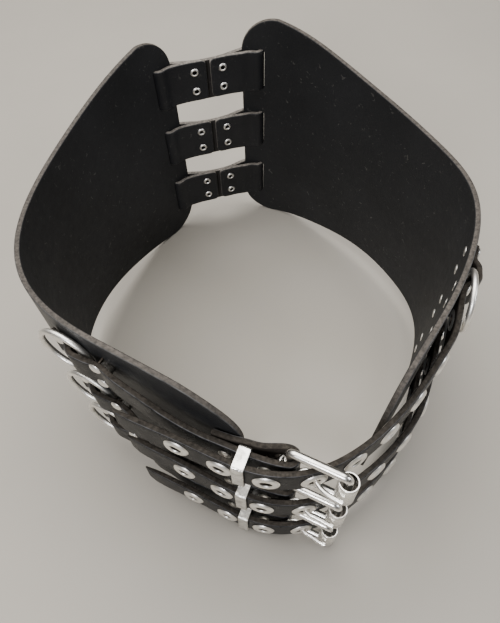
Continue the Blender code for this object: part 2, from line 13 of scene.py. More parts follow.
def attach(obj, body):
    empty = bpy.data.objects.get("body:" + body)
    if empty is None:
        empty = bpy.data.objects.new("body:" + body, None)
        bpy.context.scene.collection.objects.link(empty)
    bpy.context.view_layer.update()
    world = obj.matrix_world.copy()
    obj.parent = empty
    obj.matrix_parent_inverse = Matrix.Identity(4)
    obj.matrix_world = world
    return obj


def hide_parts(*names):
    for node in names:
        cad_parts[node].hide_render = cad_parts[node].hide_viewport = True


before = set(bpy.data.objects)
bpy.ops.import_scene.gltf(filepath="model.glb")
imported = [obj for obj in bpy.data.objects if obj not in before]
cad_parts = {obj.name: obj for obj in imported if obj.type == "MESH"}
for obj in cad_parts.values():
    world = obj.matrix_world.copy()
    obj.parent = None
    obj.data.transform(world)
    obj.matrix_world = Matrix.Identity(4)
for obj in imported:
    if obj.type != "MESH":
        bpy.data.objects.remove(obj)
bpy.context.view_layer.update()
mm = 0.001

# The standing belt is turned onto its rear corners and lowest buckle, then moved over the origin
belt = {
    "leather": 3,
    "midHeight": 88,
    "lean": 0.024,
    "standTurn": (1.81106, 0.51176, 0.00809),
    "standMove": (-11.5788, 12.4824, -8.8448),
}
halfLeather = belt["leather"] / 2

# Curves
def spline(knots, values, at):
    knots = np.asarray(knots, float)
    values = np.asarray(values, float)
    if values.ndim == 1:
        values = values[:, None]
    count = len(knots)
    gaps = np.diff(knots)
    matrix = np.eye(count)
    right = np.zeros_like(values)
    for i in range(1, count - 1):
        matrix[i, i - 1] = gaps[i - 1]
        matrix[i, i] = 2 * (gaps[i - 1] + gaps[i])
        matrix[i, i + 1] = gaps[i]
        right[i] = 6 * ((values[i + 1] - values[i]) / gaps[i] - (values[i] - values[i - 1]) / gaps[i - 1])
    bend = np.linalg.solve(matrix, right)
    at = np.atleast_1d(np.asarray(at, float))
    i = np.clip(np.searchsorted(knots, at) - 1, 0, count - 2)
    width = gaps[i][:, None]
    a = (knots[i + 1] - at)[:, None]
    b = (at - knots[i])[:, None]
    low = (values[i] / width - bend[i] * width / 6) * a
    high = (values[i + 1] / width - bend[i + 1] * width / 6) * b
    return (bend[i] * a ** 3 + bend[i + 1] * b ** 3) / (6 * width) + (low + high)

def tableAt(table, at):
    return spline([row[0] for row in table], [row[1] for row in table], at)[:, 0]

# A course in plan, walked by its headings: distances, points, and the way out at each
def planCourse(start, table, mirrored, length):
    along = np.arange(0, length + 1, 1.0)
    angle = np.radians(tableAt(table, along))
    side = -1.0 if mirrored else 1.0
    step = np.stack([np.cos(angle) * side, np.sin(angle)], 1)
    points = np.vstack([[0.0, 0.0], np.cumsum((step[1:] + step[:-1]) / 2, axis=0)]) + np.array(start)
    outward = np.stack([-step[:, 1], step[:, 0]], 1) * side
    return along, points, outward

def alongCourse(line, distance):
    along, points, outward = line
    return [np.stack([np.interp(distance, along, values[:, axis]) for axis in (0, 1)], -1)
            for values in (points, outward)]

def beside(wall, distance, out, height=belt["midHeight"]):
    point, normal = alongCourse(wall, distance)
    return point + normal * (out + (height - belt["midHeight"]) * belt["lean"])

def smoothCurve(points, step=0.4):
    points = np.asarray(points, float)
    chord = norm(np.diff(points[:, :2], axis=0), axis=1)
    knots = np.concatenate([[0], np.cumsum(chord)])
    dense = spline(knots, points, np.linspace(0, knots[-1], int(knots[-1] / step) + 2))
    along = np.concatenate([[0], np.cumsum(norm(np.diff(dense[:, :2], axis=0), axis=1))])
    return along, dense

def nearestOn(curve, point):
    along, dense = curve
    return float(along[np.argmin(norm(dense[:, :2] - np.asarray(point)[:2], axis=1))])

def unit(vector):
    return vector / norm(vector)

def fullTurn(count):
    return [2 * pi * k / count for k in range(count)]

halfTurn = [radians(-90 + 180 * k / 8) for k in range(9)]

# Corners of a rounded rectangle: centre, angle, and the share of the way to a long side
def cornerTurns(low, high, half, radius, steps=8):
    for a, b, first in ((high - radius, half - radius, 0), (low + radius, half - radius, 90),
                        (low + radius, radius - half, 180), (high - radius, radius - half, 270)):
        for k in range(steps + 1):
            share = k / steps if first in (0, 180) else 1 - k / steps
            yield a, b, radians(first + 90 * k / steps), share

turnX, turnY, turnZ = (Matrix.Rotation(radians(angle), 3, axis)
                       for angle, axis in zip(belt["standTurn"], "XYZ"))
standTurn = np.array(turnZ @ turnY @ turnX)

def toWorld(points):
    return (np.asarray(points, float) @ standTurn.T + np.array(belt["standMove"])) * mm

# Material helpers
def addNode(tree, kind, values=None, **settings):
    node = tree.nodes.new(kind)
    for key, value in settings.items():
        setattr(node, key, value)
    for key, value in (values or {}).items():
        node.inputs[key].default_value = value
    return node

def nodeMaterial(name):
    made = bpy.data.materials.new(name)
    made.use_nodes = True
    tree = made.node_tree
    where = addNode(tree, "ShaderNodeTexCoord").outputs["Object"]
    return made, tree, tree.nodes["Principled BSDF"], where

# A socket takes a link, a colour or a plain value
def feed(tree, socket, value):
    if isinstance(value, bpy.types.NodeSocket):
        tree.links.new(value, socket)
    else:
        socket.default_value = (*value, 1.0) if isinstance(value, tuple) else value

def mathNode(tree, operation, *values, clamp=False):
    node = addNode(tree, "ShaderNodeMath", operation=operation, use_clamp=clamp)
    for socket, value in zip(node.inputs, values):
        feed(tree, socket, value)
    return node.outputs[0]

def times(tree, product, *others):
    for value in others:
        product = mathNode(tree, "MULTIPLY", product, value)
    return product

def mixed(tree, kind, inputs, output, values):
    node = addNode(tree, "ShaderNodeMix", data_type=kind)
    for slot, value in zip(inputs, values):
        feed(tree, node.inputs[slot], value)
    return node.outputs[output]

# Both take a share, then what stands at 0 and at 1
def mixColour(tree, *values):
    return mixed(tree, "RGBA", (0, 6, 7), 2, values)

def mixValue(tree, *values):
    return mixed(tree, "FLOAT", (0, 2, 3), 0, values)

def noise(tree, where, scale, detail, roughness, distortion=0.0):
    values = {"Scale": scale, "Detail": detail, "Roughness": roughness, "Distortion": distortion}
    node = addNode(tree, "ShaderNodeTexNoise", values)
    tree.links.new(where, node.inputs["Vector"])
    return node.outputs["Fac"]

# Grey that rises from its least to 1 between two values of the source
def rising(tree, source, low, high, least=0.0):
    node = addNode(tree, "ShaderNodeValToRGB")
    for element, place, grey in zip(node.color_ramp.elements, (low, high), (least, 1.0)):
        element.position = place
        element.color = (grey, grey, grey, 1.0)
    tree.links.new(source, node.inputs[0])
    return node.outputs[0]

def bumpNode(tree, height, strength, distance):
    node = addNode(tree, "ShaderNodeBump", {"Strength": strength, "Distance": distance})
    tree.links.new(height, node.inputs["Height"])
    return node

def attributeNode(tree, label):
    return addNode(tree, "ShaderNodeAttribute", attribute_name=label).outputs["Fac"]

def scaled(colour, share):
    return tuple(c * share for c in colour)

# Leather: colours of the grain, the flesh side and the cut edge, a lighter rim line that is painted highlight
# and partly wear, and a line pressed near the rim
leathers = {
    "panelLeather": {
        "grain": (0.0240, 0.0250, 0.0270), "flesh": (0.0125, 0.0128, 0.0140), "edge": (0.062, 0.054, 0.047),
        "grainRough": 0.42, "fleshRough": 0.62, "edgeRough": 0.66, "gloss": 0.30,
        "pore": 0.0011, "bump": 0.00033, "scuff": 0.45, "lint": 0.22,
        "rimWearAndHighlight": (0.10, 0.10, 0.10), "rimWearAndHighlightWidth": 0.7, "lineAt": 2.2, "lineWidth": 0.5, "lineDepth": 0.5,
    },
    "tabLeather": {
        "grain": (0.0115, 0.0120, 0.0140), "flesh": (0.022, 0.020, 0.019), "edge": (0.150, 0.136, 0.122),
        "grainRough": 0.48, "fleshRough": 0.78, "edgeRough": 0.76, "gloss": 0.30,
        "pore": 0.0010, "bump": 0.00024, "scuff": 0.25, "lint": 0.15,
        "rimWearAndHighlight": (0.05, 0.05, 0.052), "rimWearAndHighlightWidth": 0.6, "lineAt": 1.7, "lineWidth": 0.4, "lineDepth": 0.6,
    },
    "strapLeather": {
        "grain": (0.0060, 0.0062, 0.0074), "flesh": (0.026, 0.022, 0.019), "edge": (0.030, 0.026, 0.022),
        "grainRough": 0.30, "fleshRough": 0.82, "edgeRough": 0.66, "gloss": 0.07,
        "pore": 0.0009, "bump": 0.00015, "scuff": 0.30, "lint": 0.10,
        "rimWearAndHighlight": (0.14, 0.14, 0.145), "rimWearAndHighlightWidth": 0.5, "lineAt": 1.7, "lineWidth": 0.45, "lineDepth": 1.4,
    },
}

# scale, detail, roughness and distortion of the patterns in every leather
hide = {
    "creases": (210, 5, 0.62),
    "clouds": (24, 3, 0.5),
    "fibres": (900, 4, 0.7),
    "specks": (520, 2, 0.6),
    "lint": (340, 1.5, 0.5, 1.2),
}
lintColour = (0.22, 0.21, 0.19)
scuffReach = 2.4

def makeLeather(name, look):
    made, tree, shader, where = nodeMaterial(name)
    side, rim = attributeNode(tree, "side"), attributeNode(tree, "rim")
    poreValues = {"Scale": 1 / look["pore"], "Randomness": 0.9}
    pores = addNode(tree, "ShaderNodeTexVoronoi", poreValues, feature="F1")
    tree.links.new(where, pores.inputs["Vector"])
    creases, clouds, fibres, specks, lint = (noise(tree, where, *pattern) for pattern in hide.values())
    # The side attribute is 1 on the grain, falls over the cut edge and is -1 on the flesh
    onGrain = mathNode(tree, "MULTIPLY_ADD", side, 7.0, -4.6, clamp=True)
    onFlesh = mathNode(tree, "MULTIPLY_ADD", side, -7.0, -4.9, clamp=True)

    def withinRim(width):
        return mathNode(tree, "MULTIPLY_ADD", rim, -1 / width, 1.0, clamp=True)

    # Colour: each side has its own, with lint and soft clouds over it, scuffs along the rims, and a lighter
    # line along the grain rim that is a painted highlight, partly also wear
    grain, flesh, edge = look["grain"], look["flesh"], look["edge"]
    grainColour = mixColour(tree, times(tree, creases, 0.5), grain, scaled(grain, 0.62))
    fleshColour = mixColour(tree, fibres, scaled(flesh, 0.7), scaled(flesh, 1.35))
    frayed = rising(tree, times(tree, mathNode(tree, "ADD", fibres, specks), 0.5), 0.38, 0.66)
    edgeColour = mixColour(tree, frayed, scaled(edge, 0.5), scaled(edge, 1.8))
    colour = mixColour(tree, onFlesh, mixColour(tree, onGrain, edgeColour, grainColour), fleshColour)
    colour = mixColour(tree, times(tree, rising(tree, lint, 0.68, 0.75), look["lint"]), colour, lintColour)
    tint = addNode(tree, "ShaderNodeVectorMath", operation="SCALE")
    tree.links.new(colour, tint.inputs[0])
    tree.links.new(mixValue(tree, clouds, 0.5, 1.55), tint.inputs["Scale"])
    scuffed = times(tree, rising(tree, specks, 0.60, 0.72), withinRim(scuffReach), look["scuff"])
    colour = mixColour(tree, scuffed, tint.outputs[0], scaled(edge, 1.6))
    # Painted highlight: a light line along the grain rim stands in for the glint on the rounded corner, and
    # partly for rub wear
    rimWearAndHighlightMask = times(tree, withinRim(look["rimWearAndHighlightWidth"]), rising(tree, creases, 0.36, 0.62, 0.25), onGrain)
    tree.links.new(mixColour(tree, rimWearAndHighlightMask, colour, look["rimWearAndHighlight"]), shader.inputs["Base Color"])
    # Roughness follows the side, broken up by the creases
    rough = mixValue(tree, onGrain, look["edgeRough"], look["grainRough"])
    rough = mixValue(tree, onFlesh, rough, look["fleshRough"])
    rough = mathNode(tree, "ADD", rough, mathNode(tree, "MULTIPLY_ADD", creases, 0.26, -0.13), clamp=True)
    tree.links.new(rough, shader.inputs["Roughness"])
    # Relief: pores and creases on the grain, fibres on the flesh and the cut edge, less the pressed line
    fine = mixValue(tree, onGrain, fibres, pores.outputs["Distance"])
    height = mathNode(tree, "MULTIPLY_ADD", fine, 0.55, times(tree, creases, 0.6))
    offLine = mathNode(tree, "ABSOLUTE", mathNode(tree, "SUBTRACT", rim, look["lineAt"]))
    line = mathNode(tree, "MULTIPLY_ADD", offLine, -1 / look["lineWidth"], 1.0, clamp=True)
    height = mathNode(tree, "SUBTRACT", height, times(tree, line, onGrain, look["lineDepth"]))
    tree.links.new(bumpNode(tree, height, 0.55, look["bump"]).outputs["Normal"], shader.inputs["Normal"])
    shader.inputs["Specular IOR Level"].default_value = look["gloss"]
    return made

# Metal: clean and dulled colour, roughness and its spread, upward scale of the scratches, depth of the bumps
metals = {
    "brightNickel": {"colour": (0.96, 0.945, 0.91), "dark": (0.74, 0.71, 0.66), "rough": 0.20, "spread": 0.10,
                     "stretch": 1, "bump": 0.00003, "crumple": 0},
    "softNickel": {"colour": (0.96, 0.945, 0.91), "dark": (0.76, 0.72, 0.66), "rough": 0.34, "spread": 0.08,
                   "stretch": 1, "bump": 0.00002, "crumple": 0},
    "satinNickel": {"colour": (0.97, 0.96, 0.93), "dark": (0.36, 0.34, 0.30), "rough": 0.22, "spread": 0.18,
                    "stretch": 0.12, "bump": 0.00005, "crumple": 0.0020},
}
# Painted shade: this dark colour stands in for shade inside eyelet barrels and the roller, and for shadow on
# the rivet shanks in their gap
paintedShadeColour = (0.075, 0.064, 0.054)

def makeMetal(name, look):
    made, tree, shader, where = nodeMaterial(name)
    stretch = addNode(tree, "ShaderNodeMapping", {"Scale": (1.0, 1.0, look["stretch"])})
    tree.links.new(where, stretch.inputs["Vector"])
    scratches = noise(tree, stretch.outputs["Vector"], 1500.0, 4.0, 0.65)
    blotches = noise(tree, where, 150.0, 4.0, 0.6)
    dull = rising(tree, blotches, 0.42, 0.70)
    colour = mixColour(tree, times(tree, dull, 0.7), look["colour"], look["dark"])
    # Painted shade: the metal goes dark where its attribute marks a hollow or a gap
    colour = mixColour(tree, attributeNode(tree, "paintedShade"), colour, paintedShadeColour)
    tree.links.new(colour, shader.inputs["Base Color"])
    rough = mathNode(tree, "MULTIPLY_ADD", dull, look["spread"], look["rough"])
    rough = mathNode(tree, "MULTIPLY_ADD", scratches, 0.10, rough, clamp=True)
    tree.links.new(rough, shader.inputs["Roughness"])
    bump = bumpNode(tree, scratches, 0.35, look["bump"])
    tree.links.new(bump.outputs["Normal"], shader.inputs["Normal"])
    if look["crumple"]:
        dents = bumpNode(tree, blotches, 0.5, look["crumple"])
        tree.links.new(dents.outputs["Normal"], bump.inputs["Normal"])
    shader.inputs["Metallic"].default_value = 1.0
    return made

finishes = {name: makeLeather(name, look) for name, look in leathers.items()}
finishes.update({name: makeMetal(name, look) for name, look in metals.items()})

# Mesh helpers
def rawMesh(name, points, edges=(), faces=()):
    mesh = bpy.data.meshes.new(name)
    mesh.from_pydata([tuple(p) for p in points], edges, faces)
    return mesh

def addObject(name, data):
    obj = bpy.data.objects.new(name, data)
    bpy.context.scene.collection.objects.link(obj)
    return obj

def discard(*objects):
    for obj in objects:
        bpy.data.objects.remove(obj, do_unlink=True)

def evaluatedMesh(obj):
    graph = bpy.context.evaluated_depsgraph_get()
    return bpy.data.meshes.new_from_object(obj.evaluated_get(graph))

def setAttribute(mesh, label, values):
    values = np.asarray(values, np.float32)
    kind, field = ("FLOAT", "value") if values.ndim == 1 else ("FLOAT_VECTOR", "vector")
    mesh.attributes.new(label, kind, "POINT").data.foreach_set(field, values.ravel())

# Faces of a closed hoop of closed sections
def hoopFaces(count, around):
    faces = []
    for i in range(count):
        for k in range(around):
            j, n = (i + 1) % count, (k + 1) % around
            faces.append((i * around + k, i * around + n, j * around + n, j * around + k))
    return faces

def finishPiece(name, mesh, finish, sharp):
    built = bmesh.new()
    built.from_mesh(mesh)
    bmesh.ops.remove_doubles(built, verts=built.verts, dist=1e-6)
    bmesh.ops.recalc_face_normals(built, faces=built.faces)
    built.to_mesh(mesh)
    built.free()
    mesh.shade_smooth()
    mesh.set_sharp_from_angle(angle=radians(sharp))
    mesh.materials.clear()
    mesh.materials.append(finishes[finish])
    obj = addObject(name, mesh)
    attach(obj, "root")
    return obj

# Leather is cut flat first, as along, up and through in millimetres, and bent into place afterwards
cutting = {
    "fineSteps": (0, 0.14, 0.4, 0.8, 1.4, 2.4),
    "mostRounding": 0.9,
    "punchReach": 4,
}

def withFineEnds(low, high, parts):
    fine = np.array(cutting["fineSteps"])
    middle = np.linspace(low + fine[-1], high - fine[-1], parts + 1)
    return np.concatenate([low + fine[:-1], middle, high - fine[:-1][::-1]])

def edgeDistance(along, up, outline):
    points = np.stack([along, up], 1)
    least = np.full(len(points), 1e9)
    for a, d in zip(outline, np.roll(outline, -1, axis=0) - outline):
        length = float(d @ d)
        if length < 1e-12:
            continue
        t = np.clip(((points - a) @ d) / length, 0, 1)
        least = np.minimum(least, norm(points - a - t[:, None] * d, axis=1))
    return least

# Prism through the leather for each hole, given as place and half sizes: a circle, or a slot with round ends
def holeCutter(holes, sides):
    built = bmesh.new()
    for along, up, halfAlong, halfUp in holes:
        radius = min(halfAlong, halfUp)
        rings = []
        for level in (-cutting["punchReach"], cutting["punchReach"]):
            ring = []
            for k in range(sides):
                angle = 2 * pi * (k + 0.5) / sides
                a = along + radius * cos(angle) + copysign(halfAlong - radius, cos(angle))
                b = up + radius * sin(angle) + copysign(halfUp - radius, sin(angle))
                ring.append(built.verts.new((a, b, level)))
            rings.append(ring)
        built.faces.new(rings[0][::-1])
        built.faces.new(rings[1])
        for k in range(sides):
            n = (k + 1) % sides
            built.faces.new((rings[0][k], rings[0][n], rings[1][n], rings[1][k]))
    bmesh.ops.recalc_face_normals(built, faces=built.faces)
    mesh = bpy.data.meshes.new("holes")
    built.to_mesh(mesh)
    built.free()
    return mesh

def cutHoles(name, flat, holes, sides):
    blank = addObject(name + "Blank", flat)
    cutter = addObject(name + "Holes", holeCutter(holes, sides))
    cut = blank.modifiers.new("Holes", "BOOLEAN")
    cut.operation = "DIFFERENCE"
    cut.solver = "EXACT"
    cut.object = cutter
    flat = evaluatedMesh(blank)
    discard(blank, cutter)
    return flat

# Two grids of stations along and points across, apart by the thickness and rounded in at the rim
def flatBlank(name, stations, spanAt, halfAt, outline, rounding, parts):
    along = np.repeat(stations, parts + 2 * len(cutting["fineSteps"]) - 1)
    up = np.concatenate([withFineEnds(*spanAt(u), parts) for u in stations])
    half = np.array([halfAt(u) for u in along])
    radius = np.minimum(rounding, half * cutting["mostRounding"])
    inset = np.clip(radius - edgeDistance(along, up, outline), 0, None)
    through = half - radius + np.sqrt(np.clip(radius ** 2 - inset ** 2, 0, None))
    points = np.concatenate([np.stack([along, up, through], 1), np.stack([along, up, -through], 1)])
    total = len(along)
    grid = np.arange(total).reshape(len(stations), -1)
    faces = []
    for square in zip(grid[:-1, :-1].flat, grid[1:, :-1].flat, grid[1:, 1:].flat, grid[:-1, 1:].flat):
        a, b, c, d = (int(corner) for corner in square)
        faces += [(a, b, c, d), (a + total, d + total, c + total, b + total)]
    rim = np.concatenate([grid[:, 0], grid[-1, 1:], grid[-2::-1, -1], grid[0, -2:0:-1]]).tolist()
    faces += [(b, a, a + total, b + total) for a, b in zip(rim, rim[1:] + rim[:1])]
    return rawMesh(name, points, faces=faces)

def evenHalf(u):
    return halfLeather

def cutLeather(name, finish, blank, holes, place, rounding, parts, halfAt=evenHalf, sides=40, grainSide=1):
    stations, spanAt = blank
    lower = [(u, spanAt(u)[0]) for u in stations]
    upper = [(u, spanAt(u)[1]) for u in stations[::-1]]
    outline = np.array(lower + upper, float)
    flat = cutHoles(name, flatBlank(name, stations, spanAt, halfAt, outline, rounding, parts), holes, sides)
    points = np.empty(len(flat.vertices) * 3)
    flat.vertices.foreach_get("co", points)
    points = points.reshape(-1, 3)
    setAttribute(flat, "side", points[:, 2] / np.array([halfAt(u) for u in points[:, 0]]) * grainSide)
    setAttribute(flat, "rim", edgeDistance(points[:, 0], points[:, 1], outline))
    corners = np.empty(len(flat.loops), np.int32)
    flat.loops.foreach_get("vertex_index", corners)
    uvs = flat.uv_layers.new(name="UVMap")
    uvs.data.foreach_set("uv", (points[corners][:, :2] * mm).astype(np.float32).ravel())
    flat.vertices.foreach_set("co", toWorld(place(points)).astype(np.float32).ravel())
    flat.update()
    return finishPiece(name, flat, finish, 55)

# Panels, and the tabs that their slots take
panel = {
    "length": 318,
    "course": 335,
    "rearCorner": 23.3,
    "tipCorner": 35,
    "heights": [
        (0, 174.3), (50, 154.7), (100, 133.7), (150, 125.8), (200, 127.9), (250, 128.7), (320, 130.8),
    ],
    "rightStart": (9.2, 130.9),
    "leftStart": (-36.4, 118.7),
    # distance, right heading, left heading
    "headings": [
        (0, -2, -42.9), (40, -36.1, -53.7), (90, -48.7, -64), (140, -61.4, -81.2), (170, -72.2, -100.1),
        (200, -98.7, -125.7), (240, -117.6, -147.3), (300, -126.8, -152), (340, -117.5, -184.4),
    ],
    "slotAt": 12.8,
    "slotWidth": 4.6,
    "slotSlack": 0.5,
    "round": 0.55,
    "stations": {"rear": 22, "middle": 96, "tip": 26},
    "across": 26,
}

tab = {
    "width": 28.6,
    "numbers": {"top": 1, "middle": 0, "bottom": -1},
    "period": 47.55,
    # out from the wall on both sides of the slot, and the fold through it
    "outside": 5.25,
    "inside": -2.3,
    "straightOutside": 3,
    "straightInside": 2.5,
    "foldShift": 0.3,
    "foldMiddle": 1.45,
    # distance and out where the tab leaves the wall at the panel's edge
    "leaveOutside": (0.8, 5.05),
    "leaveInside": (0.5, -3.9),
    # reach from the middle of the rear gap, and lift or out there
    "endGap": 3,
    "foldedEnd": [(8, 0), (13.5, 0.1)],
    "bridge": (11, 0.8),
    "layerGap": 0.4,
    "dip": 1.2,
    "sag": 2.4,
    "sagShares": (0.25, 1, 1),
    "leanAt": 4,
    "endCorner": 3.2,
    "eyeletReach": 9.6,
    "eyeletRise": 7,
    "eyeletHole": 2.9,
    "across": 8,
}

walls = {}
for column, wallSide in ((1, "right"), (2, "left")):
    wallHeadings = [(line[0], line[column]) for line in panel["headings"]]
    walls[wallSide] = planCourse(panel[wallSide + "Start"], wallHeadings, wallSide == "left", panel["course"])

def panelHalf(distance):
    rear, tip = panel["rearCorner"], panel["tipCorner"]
    corner, past = (rear, rear - distance) if distance < rear else (tip, distance - (panel["length"] - tip))
    half = tableAt(panel["heights"], max(distance, rear))[0] / 2
    return half - corner + sqrt(max(corner ** 2 - past ** 2, 0)) if past > 0 else half

def panelStations():
    rear, tip, length, parts = panel["rearCorner"], panel["tipCorner"], panel["length"], panel["stations"]
    first = [rear * (1 - cos(radians(a))) for a in np.linspace(0, 90, parts["rear"])]
    last = [length - tip + tip * sin(radians(a)) for a in np.linspace(0, 90, parts["tip"])]
    between = list(np.linspace(rear, length - tip, parts["middle"]))[1:-1]
    return np.array(first + between + last)

def makePanel(side):
    halfSlot = (panel["slotWidth"] / 2, tab["width"] / 2 + panel["slotSlack"])
    holes = [(panel["slotAt"], number * tab["period"], *halfSlot) for number in (-1, 0, 1)]

    def place(flat):
        point, normal = alongCourse(walls[side], flat[:, 0])
        out = halfLeather + flat[:, 2] + belt["lean"] * flat[:, 1]
        plan = point + normal * out[:, None]
        return np.column_stack([plan, belt["midHeight"] + flat[:, 1]])

    blank = (panelStations(), lambda u: (-panelHalf(u), panelHalf(u)))
    piece = cutLeather(side + "Panel", "panelLeather", blank, holes, place, panel["round"], panel["across"])
    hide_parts("panel_" + side)

for sideName in ("left", "right"):
    makePanel(sideName)
print("panels made")

# Straps: their own course round the front, and the rows that follow it
strap = {
    "width": 19,
    "rowPeriod": 43.9,
    "start": (130.7, 18.2),
    "course": 330,
    "headings": [
        (0, -87.6), (50, -101.7), (100, -116.1), (150, -137.1), (200, -164.7), (240, -202.9), (280, -205.7),
        (330, -206.6),
    ],
    "droop": [
        (70, 0), (85, 1), (100, 4), (130, 11), (160, 15.6), (200, 16.2), (240, 13.8), (270, 11),
        (300, 7.7), (330, 2),
    ],
    # billet: distance between its bends, reach of its bulge, skived and slanted tip, eyelets
    "bendEvery": 13,
    "bulgeReach": 50,
    "tipTaper": 14,
    "tipThickness": 1,
    "tipCut": 3,
    "tipSlant": 4,
    "tipCurve": 0.75,
    "eyeletSpacing": 21.8,
    "eyeletCount": 9,
    "eyeletHole": 7.1,
    # ends on the panels, over the rings: distance along the wall, out from its face
    "rightEnd": [
        (217, 1.9), (221, 1.9), (225, 2), (226.8, 2.7), (228, 3.9), (229.4, 5), (231.4, 5.6),
        (234, 6.2), (237, 6.7), (239, 6), (240.6, 4.3), (242.4, 2.7), (245, 2), (250, 2.4),
        (255, 3.3),
    ],
    "leftEnd": [
        (217, 1.9), (221.5, 1.9), (226, 2), (228, 2.9), (229.8, 4.5), (231.6, 5.8), (234, 6.1),
        (237, 5.8), (240, 5.5), (243.5, 4.9), (247, 4.6), (251, 5), (255.5, 6),
    ],
    # folded layers of the buckle strap: distance along the straps' course, depth below it
    "innerLayer": [(256.5, 11.2), (251, 11.7), (246, 12.2), (238.5, 13.1), (231.5, 13.3)],
    "outerLayer": [(231, 7.6), (238.5, 8), (247, 8.2), (257, 7.8)],
    "foldRivets": (248.3, 227.3),
    # where it runs free to the panel: place in plan, and drop below its row
    "free": [(-32, -117.4, 6.82), (-41.3, -111.2, 4.18), (-50.6, -104.8, 1.98)],
    "rivets": {"right": (221.4, 245), "left": (222.4, 246.5)},
    "rivetRise": 7.7,
    "rivetOut": 3,
    # a strap leans with its panel, and loses that between two distances from its end
    "leanAt": 235,
    "leanKept": 45,
    "leanLost": 75,
    "round": 0.65,
    "step": 1.3,
    "across": 6,
}

# number above the middle, inward at the right and the left; billet's first bend, first eyelet, tip and bulge
rows = [
    {"name": "top", "number": 1, "inward": (6.6, -3),
     "first": 104, "eyelet": 269.4, "tip": 300.5, "bulge": 3},
    {"name": "middle", "number": 0, "inward": (-4.6, 2.1),
     "first": 132, "eyelet": 271.6, "tip": 304, "bulge": 0},
    {"name": "bottom", "number": -1, "inward": (-2.3, 0.7),
     "first": 132, "eyelet": 270.6, "tip": 301.5, "bulge": 0},
]

buckle = {
    "at": 212,
    "heel": (24, -136.4),
    "turn": -27.5,
    "length": 28,
    "rise": 0.8,
    "half": 13.3,
    "wire": 2.1,
    "wireSides": 18,
    "stouter": 0.30,
    "corner": 3.1,
    "rollerOuter": 4.75,
    "rollerInner": 3.9,
    "rollerHalf": 10.3,
    "rollerSides": 56,
    # the roller's painted shade inside stops this far from each end
    "darkFrom": 1,
    # the strap's fold round the heel bar, square to the course between two distances, and the slot in it
    "gap": 0.3,
    "foldSlack": 0.15,
    "foldLine": (240, 226),
    "slotHalf": 2.4,
    "slotReach": 8,
    # prong: an eye, then a course through an eyelet and over the roller, thinner towards the tip
    "prongWire": 1.3,
    "prongSides": 14,
    "prongStep": 0.6,
    "eyeSlack": 0.2,
    "eyeTurn": (-5, -265),
    "prongStart": (4.6, 3.1),
    "prongEyelet": 3,
    "prongThrough": [(-4.4, -2.6), (-2.2, -2.3), (-0.5, -1.1), (1.4, 0.6)],
    "prongRise": 1.3,
    "prongEnd": [(18.5, 5.2), (24, 6.2), (28.6, 6.5)],
    "prongTaper": (26, 0.25),
    "prongTip": (0.70, 0.56, 0.30),
}
buckle["fold"] = buckle["wire"] + buckle["gap"] + halfLeather + buckle["foldSlack"]
strapLine = planCourse(strap["start"], strap["headings"], False, strap["course"])

def rowLevel(row):
    return belt["midHeight"] + row["number"] * strap["rowPeriod"]

def strapHeight(row, distance):
    return rowLevel(row) - tableAt(strap["droop"], distance)[0]

def strapPoint(row, distance, depth):
    share = distance / strap["course"]
    inward = row["inward"][0] * (1 - share) + row["inward"][1] * share
    point, normal = alongCourse(strapLine, distance)
    return point - normal * (inward + depth)

def strapSpots(row, table):
    return [(*strapPoint(row, distance, depth), strapHeight(row, distance)) for distance, depth in table]

def wallSpots(side, level, table):
    return [(*beside(walls[side], d, belt["leather"] + out, level), level) for d, out in table]

# Bends a flat piece along a line of points, leaning as told
def bentPlace(curve, leanAt):
    alongLine, dense = curve
    tangent = np.stack([np.gradient(dense[:, 0]), np.gradient(dense[:, 1])], 1)
    tangent /= norm(tangent, axis=1)[:, None]

    def place(flat):
        line = [np.interp(flat[:, 0], alongLine, dense[:, axis]) for axis in range(3)]
        heading = np.stack([np.interp(flat[:, 0], alongLine, tangent[:, axis]) for axis in (0, 1)], 1)
        heading /= norm(heading, axis=1)[:, None]
        normal = np.stack([-heading[:, 1], heading[:, 0]], 1)
        plan = np.stack(line[:2], 1)
        plan = plan + normal * flat[:, 2][:, None] + leanAt(flat[:, 0], plan) * flat[:, 1][:, None]
        return np.column_stack([plan, line[2] + flat[:, 1]])

    return place

def strapBlank(length, width, lowAt=None, corner=0.0):
    half = width / 2

    def span(u):
        past = max(0.0, corner - min(u, length - u))
        taken = corner - sqrt(max(corner ** 2 - past ** 2, 0))
        return (-half + taken + (lowAt(u) if lowAt else 0.0), half - taken)

    return withFineEnds(0, length, int(length / strap["step"])), span

# Each fastener is noted as its seat, the way it faces and its stretch
fasteners = {"eyelet": [], "tabEyelet": [], "rivet": [], "burr": [], "shank": []}

def seatFastener(kind, place, along, up, through, side=1):
    seat, ahead = toWorld(place(np.array([[along, up, through], [along, up, through + side]])))
    fasteners[kind].append((seat, unit(ahead - seat), 1.0))

def setShank(back, head):
    fasteners["shank"].append((back, unit(head - back), norm(head - back) / mm))

# Two columns of rivets hold a strap: heads on the strap, burrs inside the panel
def setRivets(side, row, place, curve):
    level = rowLevel(row)
    for column in strap["rivets"][side]:
        at = nearestOn(curve, beside(walls[side], column, belt["leather"] + strap["rivetOut"], level))
        for rise in (-strap["rivetRise"], strap["rivetRise"]):
            seatFastener("rivet", place, at, rise, halfLeather)
            head = fasteners["rivet"][-1][0]
            back = toWorld((*beside(walls[side], column, 0.0, level + rise), level + rise))
            fasteners["burr"].append((back, unit(back - head), 1.0))
            setShank(back, head)

def wallLean(side, length, fromStart):
    normal = alongCourse(walls[side], strap["leanAt"])[1]

    def leanAt(along, plan):
        fromEnd = along if fromStart else length - along
        share = np.clip((strap["leanLost"] - fromEnd) / (strap["leanLost"] - strap["leanKept"]), 0, 1)
        return normal[None, :] * (share * belt["lean"])[:, None]

    return leanAt

